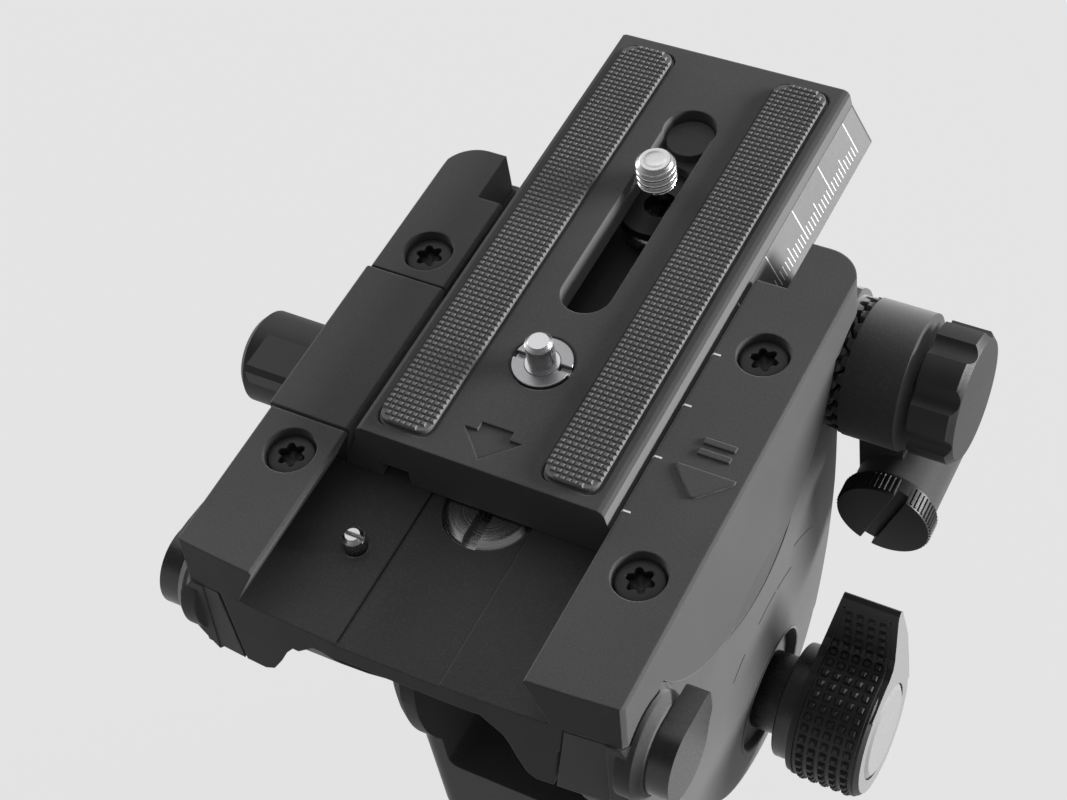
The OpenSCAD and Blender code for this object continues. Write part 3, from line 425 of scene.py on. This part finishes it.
def camera_screw():
    top = high("camera_screw").z
    radius = SCREW_RADIUS
    centre = Vector((0, middle("video_pin").y + SCREW_FROM_PIN, 0))
    foot = PLATE_TOP + 0.05
    mesh = bmesh.new()
    mesh.from_mesh(nodes["camera_screw"].data)
    mesh.transform(Matrix.Scale(1 / MM, 4))
    bmesh.ops.remove_doubles(mesh, verts=mesh.verts, dist=0.002)
    thread_part = [v for v in mesh.verts if v.co.z > foot - 0.02]
    bmesh.ops.delete(mesh, geom=thread_part, context="VERTS")
    loops = []
    for k in range(SCREW_RINGS + 1):
        z = foot - 0.6 + (top - foot + 0.6) * k / SCREW_RINGS
        loop = []
        for i in range(SCREW_SIDES):
            a = TURN * i / SCREW_SIDES
            phase = (z / THREAD_PITCH - i / SCREW_SIDES) % 1.0
            ridge = min(1.0, max(0.0, 1.35 - 2.7 * abs(phase - 0.5)))
            thread = radius - THREAD_DEPTH * (1 - ridge)
            tip = radius - 0.75 + max(0.0, top - z)
            root = radius - 0.6 + max(0.0, z - foot + 0.5) * 1.2
            r = min(thread, tip, root)
            loop.append(centre + Vector((r * math.cos(a), r * math.sin(a), z)))
        loops.append(loop)
    loops.append(ring_points(centre, radius - 1.35, SCREW_SIDES, top))
    loops.append(ring_points(centre, radius - 1.5, SCREW_SIDES, top - 0.12))
    add_tube(mesh, loops)
    made = piece("camera_screw_cut", mesh, "screw", STEEL, smooth=50)
    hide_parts("camera_screw")


camera_screw()


# six lobed screws that hold the side arms
LOBE_OUT = 2.15
LOBE_IN = 1.45
SOCKET_DEPTH = 1.5
HEAD_RADIUS = 3.7
HEAD_HEIGHT = 2.8
SHANK_RADIUS = 2.0
HEAD_SIDES = 72


def lobe_loop(centre, scale, height):
    """Outline of a six lobed socket."""
    points = []
    for i in range(HEAD_SIDES):
        a = TURN * i / HEAD_SIDES
        wave = math.cos(6 * a)
        swing = wave + 0.18 * (1 - wave * wave)
        r = scale * ((LOBE_OUT + LOBE_IN) / 2 + (LOBE_OUT - LOBE_IN) / 2 * swing)
        points.append(Vector((centre[0] + r * math.cos(a), centre[1] + r * math.sin(a), height)))
    return points


def arm_screws():
    box_low, box_high = low("arm_screws"), high("arm_screws")
    head, top = HEAD_RADIUS, box_high.z
    outside = [(SHANK_RADIUS, box_low.z), (SHANK_RADIUS, top - HEAD_HEIGHT), (head, top - HEAD_HEIGHT),
               (head, top - 0.45), (head - 0.18, top - 0.13), (head - 0.5, top)]
    socket = [(1.06, top), (1.0, top - 0.12), (0.97, top - SOCKET_DEPTH)]
    mesh = bmesh.new()
    for x in (box_low.x + head, box_high.x - head):
        for y in (box_low.y + head, box_high.y - head):
            at = (x, y)
            loops = [ring_points(at, r, HEAD_SIDES, z) for r, z in outside]
            loops += [lobe_loop(at, scale, z) for scale, z in socket]
            loops.append(ring_points(at, 0.35, HEAD_SIDES, top - SOCKET_DEPTH - 0.5))
            add_tube(mesh, loops)
    made = piece("arm_screws_lobed", mesh, "tilt_head", BLACK_STEEL, smooth=35)
    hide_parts("arm_screws")


arm_screws()


# ruler on the right flank of the plate: a grey strip, lighter than the plate's paint, with white marks
FLANK_LOW = Vector((FOOT_HALF, 0, PLATE_FOOT + 0.5))
FLANK_HIGH = Vector((20.5, 0, PLATE_TOP - 2.8))
FLANK_UP = (FLANK_HIGH - FLANK_LOW).normalized()
FLANK_OUT = Vector((FLANK_UP.z, 0, -FLANK_UP.x))
FIRST_MARK = 68.74
MARKS = 41
MARK_FOOT = 1.57
MARK_REACH = (6.0, 2.9, 1.9)
STRIP_OUT = 0.03
MARK_OUT = 0.06


def flank_point(along, up, out):
    return FLANK_LOW + FLANK_UP * up + FLANK_OUT * out + Vector((0, along, 0))


def flank_bar(mesh, y0, y1, up0, up1, out):
    corners = ((y0, up0), (y1, up0), (y1, up1), (y0, up1))
    add_solid(mesh, [flank_point(y, u, 0.0) for y, u in corners],
              [flank_point(y, u, out) for y, u in corners])


def ruler():
    strip = bmesh.new()
    front, height = low("quick_plate").y, (FLANK_HIGH - FLANK_LOW).length
    flank_bar(strip, front + 0.4, PLATE_BACK - 0.4, 0.1, height - 0.1, STRIP_OUT)
    piece("ruler_strip", strip, "plate", RULER_GREY)
    marks = bmesh.new()
    for k in range(MARKS):
        y = FIRST_MARK - k
        reach = MARK_REACH[0 if k % 10 == 0 else 1 if k % 5 == 0 else 2]
        wide = 0.12 if k % 10 == 0 else 0.10
        flank_bar(marks, y - wide, y + wide, MARK_FOOT, MARK_FOOT + reach, MARK_OUT)
    piece("ruler_marks", marks, "plate", WHITE_PAINT)


ruler()


# raised arrow of a head and two bars on the right rail, and index marks at its inner edge
ARROW_UP = 0.28
ARROW_SHAPES = [
    [(29.4, -6.6), (29.9, -6.3), (34.1, -2.2), (34.1, -1.5), (24.9, -1.5), (24.9, -2.2), (28.9, -6.3)],
    [(26.8, 0.8), (31.9, 0.8), (31.9, 1.9), (26.8, 1.9)],
    [(26.8, 2.8), (31.9, 2.8), (31.9, 3.9), (26.8, 3.9)],
]


def rail_arrow():
    mesh = bmesh.new()
    for shape in ARROW_SHAPES:
        middle_x = sum(x for x, y in shape) / len(shape)
        middle_y = sum(y for x, y in shape) / len(shape)
        top = [(middle_x + (x - middle_x) * 0.96, middle_y + (y - middle_y) * 0.94) for x, y in shape]
        add_solid(mesh, [(x, y, RAIL_TOP - 0.1) for x, y in shape],
                  [(x, y, RAIL_TOP + ARROW_UP) for x, y in top])
    piece("rail_arrow", mesh, "tilt_head", BLACK_CAST)


rail_arrow()

INDEX_MARKS = (18.3, 8.2, -1.7, -11.8)
INDEX_HALF = 0.15


def index_marks():
    """White marks over the chamfer at the inner edge of the right rail."""
    mesh = bmesh.new()
    for y in INDEX_MARKS:
        edge = [(21.07, RAIL_TOP - 0.5), (21.48, RAIL_TOP + 0.03), (22.6, RAIL_TOP + 0.03)]
        inner = [(21.3, RAIL_TOP - 0.6), (21.7, RAIL_TOP - 0.3), (22.6, RAIL_TOP - 0.3)]
        loops = [[(x, y + s * INDEX_HALF, z) for x, z in edge + inner[::-1]] for s in (-1, 1)]
        add_tube(mesh, loops)
    piece("index_marks", mesh, "tilt_head", WHITE_PAINT)


index_marks()


# rubber studs on the flank of the tilt knob
STUD_PITCH = 1.85
STUD_RISE = 0.55
STUD_COLUMNS = 5
BORDER_STEP = 0.8
BORDER = ((-0.25, -0.3), (0.25, -0.3), (0.14, 0.3), (-0.14, 0.3))
WING_FROM = 10
WING_TAPER = 2.9 / 14


def knob_outline():
    """Front flank of the tilt knob from the tip of its wing down round its foot, in Y and Z."""
    r = (high("tilt_knob_grip").y - low("tilt_knob_grip").y) / 2
    tip = high("tilt_knob_grip").z - TILT_Z
    wing = [(6.3, tip - 1.2), (4.8, r + 3.0), (4.1, r + 1.4), (2.6, r + 0.5), (0.0, r + 0.1)]
    round_part = [(-r * math.sin(math.radians(a)), r * math.cos(math.radians(a))) for a in range(8, 200, 6)]
    return [Vector((y, z)) for y, z in wing + round_part]


def walk(path, distance):
    """Point and direction at a distance along a path."""
    for a, b in zip(path, path[1:]):
        length = (b - a).length
        if distance <= length:
            return a + (b - a) * (distance / length), (b - a).normalized()
        distance -= length
    return path[-1], (path[-1] - path[-2]).normalized()


def knob_studs():
    path = knob_outline()
    length = sum((b - a).length for a, b in zip(path, path[1:]))
    x_low, x_high = low("tilt_knob_grip").x, high("tilt_knob_grip").x
    mesh = bmesh.new()
    rows = int((length - 3.0) / STUD_PITCH)
    for row in range(rows):
        at, along = walk(path, 2.2 + row * STUD_PITCH)
        normal = Vector((0, along.y, -along.x))
        direction = Vector((0, along.x, along.y))
        for column in range(STUD_COLUMNS):
            x = x_low + 2.3 + column * STUD_PITCH
            if x > x_high - 1.6:
                continue
            if at.y > WING_FROM + 2 and x < x_low + 1.2 + WING_TAPER * (at.y - WING_FROM):
                continue
            centre = Vector((x, at.x, at.y + TILT_Z))
            foot, tip = STUD_PITCH * 0.42, STUD_PITCH * 0.17
            across = Vector((1, 0, 0))
            base = [centre + across * a * foot + direction * b * foot - normal * 0.25 for a, b in SQUARE]
            peak = [centre + across * a * tip + direction * b * tip + normal * STUD_RISE for a, b in SQUARE]
            add_solid(mesh, base, peak)
    samples = int((length - 1.6) / BORDER_STEP)
    for right in (False, True):
        loops = []
        for k in range(samples):
            at, along = walk(path, 1.0 + k * BORDER_STEP)
            normal = Vector((0, along.y, -along.x))
            x = x_high - 1.2 if right else x_low + 0.9 + max(0.0, WING_TAPER * (at.y - WING_FROM))
            centre = Vector((x, at.x, at.y + TILT_Z))
            loops.append([centre + Vector((w, 0, 0)) + normal * h for w, h in BORDER])
        add_tube(mesh, loops)
    piece("tilt_knob_studs", mesh, "tilt_knob", RUBBER)


knob_studs()


# fine lines on the face of the right arm, round the tilt axis, and the bead round its recess
ARM_FACE = 36.5
ARM_BULGE = 220
BULGE_UP = 14
LINE_HALF = 0.11
ARM_LINES = [(24.2, -30, -19), (24.2, -7, 8), (24.2, 9.5, 23), (27.8, 24, 43)]
BEAD = [(10.52, -0.4), (10.58, 0.0), (10.75, 0.14), (10.98, 0.14), (11.2, 0.02), (11.3, -0.2)]


def arm_point(radius, angle, out):
    """Point over the bulged face of the right arm, at a radius and angle round the tilt axis."""
    y, z = radius * math.sin(angle), radius * math.cos(angle)
    x = ARM_FACE - ARM_BULGE + math.sqrt((ARM_BULGE + out) ** 2 - y * y - (z - BULGE_UP) ** 2)
    return Vector((x, y, TILT_Z + z))


def arm_marks():
    mesh = bmesh.new()
    section = [(-LINE_HALF, -0.1), (LINE_HALF, -0.1), (LINE_HALF * 0.6, 0.04), (-LINE_HALF * 0.6, 0.04)]
    for radius, start, end in ARM_LINES:
        steps = 2 * (end - start) // 3
        turns = [math.radians(start + (end - start) * k / steps) for k in range(int(steps) + 1)]
        add_tube(mesh, [[arm_point(radius + w, a, out) for w, out in section] for a in turns])
    piece("arm_lines", mesh, "tilt_head", RUBBER)
    mesh = bmesh.new()
    add_tube(mesh, [[arm_point(radius, TURN * i / 96, out) for i in range(96)] for radius, out in BEAD],
             close_ends=False)
    piece("recess_bead", mesh, "tilt_head", ARM_CAST, smooth=60)


arm_marks()


# painted shade: thin dark strips along the two steps in the channel floor, standing in for the shade at the
# steps
STEP_SHADE_SIDES = ((-9.3, -9.14), (7.44, 7.6))
CHANNEL_DEPTH = 8.6


def channel_step_shade():
    depth = RAIL_TOP - CHANNEL_DEPTH
    front, back = low("platform").y + 1.9, high("platform").y - 0.3
    mesh = bmesh.new()
    for x0, x1 in STEP_SHADE_SIDES:
        loop = [(x0, front), (x1, front), (x1, back), (x0, back)]
        add_solid(mesh, [(x, y, depth - 0.05) for x, y in loop], [(x, y, depth + 0.32) for x, y in loop])
    piece("channel_step_shade", mesh, "tilt_head", RUBBER)


channel_step_shade()


# bubble and ring in the level
BUBBLE_SECTION = ((1.7, -0.1), (1.68, 0.03), (1.5, 0.12), (1.1, 0.19), (0.5, 0.22))
RING_SECTION = ((2.3, -0.05), (2.3, 0.04), (2.55, 0.04), (2.55, -0.05))


def level_bubble():
    top = high("level_vial").z
    at = middle("level_vial")
    mesh = bmesh.new()
    add_tube(mesh, [ring_points(at, r, 48, top + h) for r, h in BUBBLE_SECTION])
    piece("level_bubble", mesh, "pan_body", BUBBLE, smooth=60)
    mesh = bmesh.new()
    add_tube(mesh, [ring_points(at, r, 64, top + h) for r, h in RING_SECTION], close_ends=False)
    piece("level_ring_mark", mesh, "pan_body", RUBBER, smooth=30)


level_bubble()


# knurl round the thumb screw
KNURLS = 60
KNURL_UP = 0.22
KNURL_SPAN = (0.45, 3.35)
KNURL_SHARE = 0.8
SLOT_TURN = math.radians(68)
SLOT_HALF = 1.3


def thumb_knurl():
    node = "bar_thumbscrew"
    lowest, highest = low(node), high(node)
    x, z = (lowest.x + highest.x) / 2, (lowest.z + highest.z) / 2
    radius = (highest.x - lowest.x) / 2
    y0, y1 = [lowest.y + y for y in KNURL_SPAN]
    mesh = bmesh.new()
    for k in range(KNURLS):
        a = TURN * k / KNURLS
        if abs(radius * math.sin(a - SLOT_TURN)) < SLOT_HALF:
            continue
        out = Vector((math.cos(a), 0, math.sin(a)))
        side = Vector((-math.sin(a), 0, math.cos(a))) * (math.pi * radius / KNURLS * KNURL_SHARE)
        hub = Vector((x, 0, z)) + out * (radius - 0.1)
        rim = Vector((x, 0, z)) + out * (radius + KNURL_UP)
        loop = [hub - side, rim - side * 0.3, rim + side * 0.3, hub + side]
        add_solid(mesh, [p + Vector((0, y0, 0)) for p in loop], [p + Vector((0, y1, 0)) for p in loop])
    piece("thumbscrew_knurl", mesh, "thumbscrew", BLACK_STEEL)


thumb_knurl()


# STUDIO

CAMERA_AT = Vector((0.11763, -0.15516, 0.35616))
CAMERA_RIGHT = Vector((0.8787, 0.4596, -0.12895))
CAMERA_DOWN = Vector((0.29227, -0.73155, -0.61596))
SENSOR_WIDTH = 36
LENS = 71.97
BACKDROP = 0.79
FLOOR_GLOW = 0.86
FLOOR_BOUNCE = 0.18
FLOOR_SHARE = 0.88
FLOOR_RADIUS = 6.0
CEILING = 0.16
LIGHT_FROM = Vector((0.10, 0.50, 0.85)).normalized()
DIM_SIDE = 0.02
DIM_FROM = -0.4
LIT_SIDE = 0.42
LAMP_AIM = Vector((0, 0, 0.09))
LAMPS = [
    ("lamp_top", (-0.50, 0.70, 1.10), (1.7, 1.7), 6.8),
    ("lamp_right", (2.40, 1.35, 0.50), (1.9, 0.8), 150.0),
    ("lamp_left", (-2.60, 0.80, 0.70), (1.8, 1.2), 22.0),
]


def grey(value):
    return (value, value, value, 1)


def backdrop_rays(tree):
    """One for the rays that see the background: from the camera, mirrored and through glass."""
    rays = make(tree, "LightPath")
    total = rays.outputs["Is Camera Ray"]
    for kind in ("Is Glossy Ray", "Is Transmission Ray"):
        either = make(tree, "Math", operation="MAXIMUM")
        wire(tree, total, either.inputs[0])
        wire(tree, rays.outputs[kind], either.inputs[1])
        total = either.outputs[0]
    return total


def along(tree, vector, direction):
    """How far a vector reaches along a direction."""
    node = make(tree, "VectorMath", operation="DOT_PRODUCT")
    wire(tree, vector, node.inputs[0])
    node.inputs[1].default_value = direction
    return node.outputs["Value"]


def set_camera():
    right = CAMERA_RIGHT.normalized()
    forward = right.cross(CAMERA_DOWN).normalized()
    down = forward.cross(right).normalized()
    camera = bpy.data.cameras.new("camera")
    camera.sensor_width = SENSOR_WIDTH
    camera.lens = LENS
    camera.clip_start = 0.01
    holder = bpy.data.objects.new("camera", camera)
    rows = [(right[i], -down[i], -forward[i], CAMERA_AT[i]) for i in range(3)]
    holder.matrix_world = Matrix(rows + [(0, 0, 0, 1)])
    bpy.context.scene.collection.objects.link(holder)
    bpy.context.scene.camera = holder


def set_floor():
    """A plain pale floor that glows softly, so that only a faint shadow shows on it."""
    mesh = bmesh.new()
    bmesh.ops.create_circle(mesh, cap_ends=True, segments=96, radius=FLOOR_RADIUS)
    data = bpy.data.meshes.new("floor")
    mesh.to_mesh(data)
    mesh.free()
    floor = bpy.data.objects.new("floor", data)
    floor.location.z = -0.0002
    bpy.context.scene.collection.objects.link(floor)
    material = bpy.data.materials.new("floor")
    material.use_nodes = True
    tree = material.node_tree
    tree.nodes.clear()
    output = make(tree, "OutputMaterial")
    matt = make(tree, "BsdfDiffuse", Color=grey(FLOOR_BOUNCE))
    glow = make(tree, "Emission", Color=grey(FLOOR_GLOW), Strength=1.0)
    share = make(tree, "Math", operation="MULTIPLY")
    share.inputs[1].default_value = FLOOR_SHARE
    wire(tree, backdrop_rays(tree), share.inputs[0])
    blend = make(tree, "MixShader")
    wire(tree, share.outputs[0], blend.inputs["Fac"])
    wire(tree, matt.outputs[0], blend.inputs[1])
    wire(tree, glow.outputs[0], blend.inputs[2])
    wire(tree, blend.outputs[0], output.inputs["Surface"])
    data.materials.append(material)


def set_world():
    """Soft light from the right and above, and a pale backdrop under a darker ceiling."""
    world = bpy.data.worlds.new("studio")
    bpy.context.scene.world = world
    world.use_nodes = True
    tree = world.node_tree
    tree.nodes.clear()
    output = make(tree, "OutputWorld")
    place = make(tree, "TexCoord")
    side = along(tree, place.outputs["Generated"], LIGHT_FROM)
    light = make(tree, "Background", Color=grey(1), Strength=1.0)
    wire(tree, remap(tree, side, (DIM_FROM, 1), (DIM_SIDE, LIT_SIDE)), light.inputs["Strength"])
    rise = make(tree, "MapRange", interpolation_type="SMOOTHSTEP", From_Min=0.2, From_Max=0.6)
    wire(tree, along(tree, place.outputs["Generated"], (0, 0, 1)), rise.inputs["Value"])
    rays = make(tree, "LightPath")
    unseen = make(tree, "Math", operation="SUBTRACT")
    unseen.inputs[0].default_value = 1.0
    wire(tree, rays.outputs["Is Camera Ray"], unseen.inputs[1])
    dark = make(tree, "Math", operation="MULTIPLY")
    wire(tree, rise.outputs["Result"], dark.inputs[0])
    wire(tree, unseen.outputs[0], dark.inputs[1])
    view = make(tree, "Background", Strength=1.0)
    wire(tree, mix_colours(tree, dark.outputs[0], grey(BACKDROP), grey(CEILING)), view.inputs["Color"])
    blend = make(tree, "MixShader")
    wire(tree, backdrop_rays(tree), blend.inputs["Fac"])
    wire(tree, light.outputs[0], blend.inputs[1])
    wire(tree, view.outputs[0], blend.inputs[2])
    wire(tree, blend.outputs[0], output.inputs["Surface"])


def set_lamps():
    for name, place, size, power in LAMPS:
        lamp = bpy.data.lights.new(name, "AREA")
        lamp.shape = "ELLIPSE"
        lamp.size, lamp.size_y = size
        lamp.energy = power
        holder = bpy.data.objects.new(name, lamp)
        holder.location = place
        aim = LAMP_AIM - Vector(place)
        holder.rotation_euler = aim.to_track_quat("-Z", "Y").to_euler()
        bpy.context.scene.collection.objects.link(holder)


set_camera()
set_floor()
set_world()
set_lamps()
bpy.context.scene.view_settings.view_transform = "Standard"
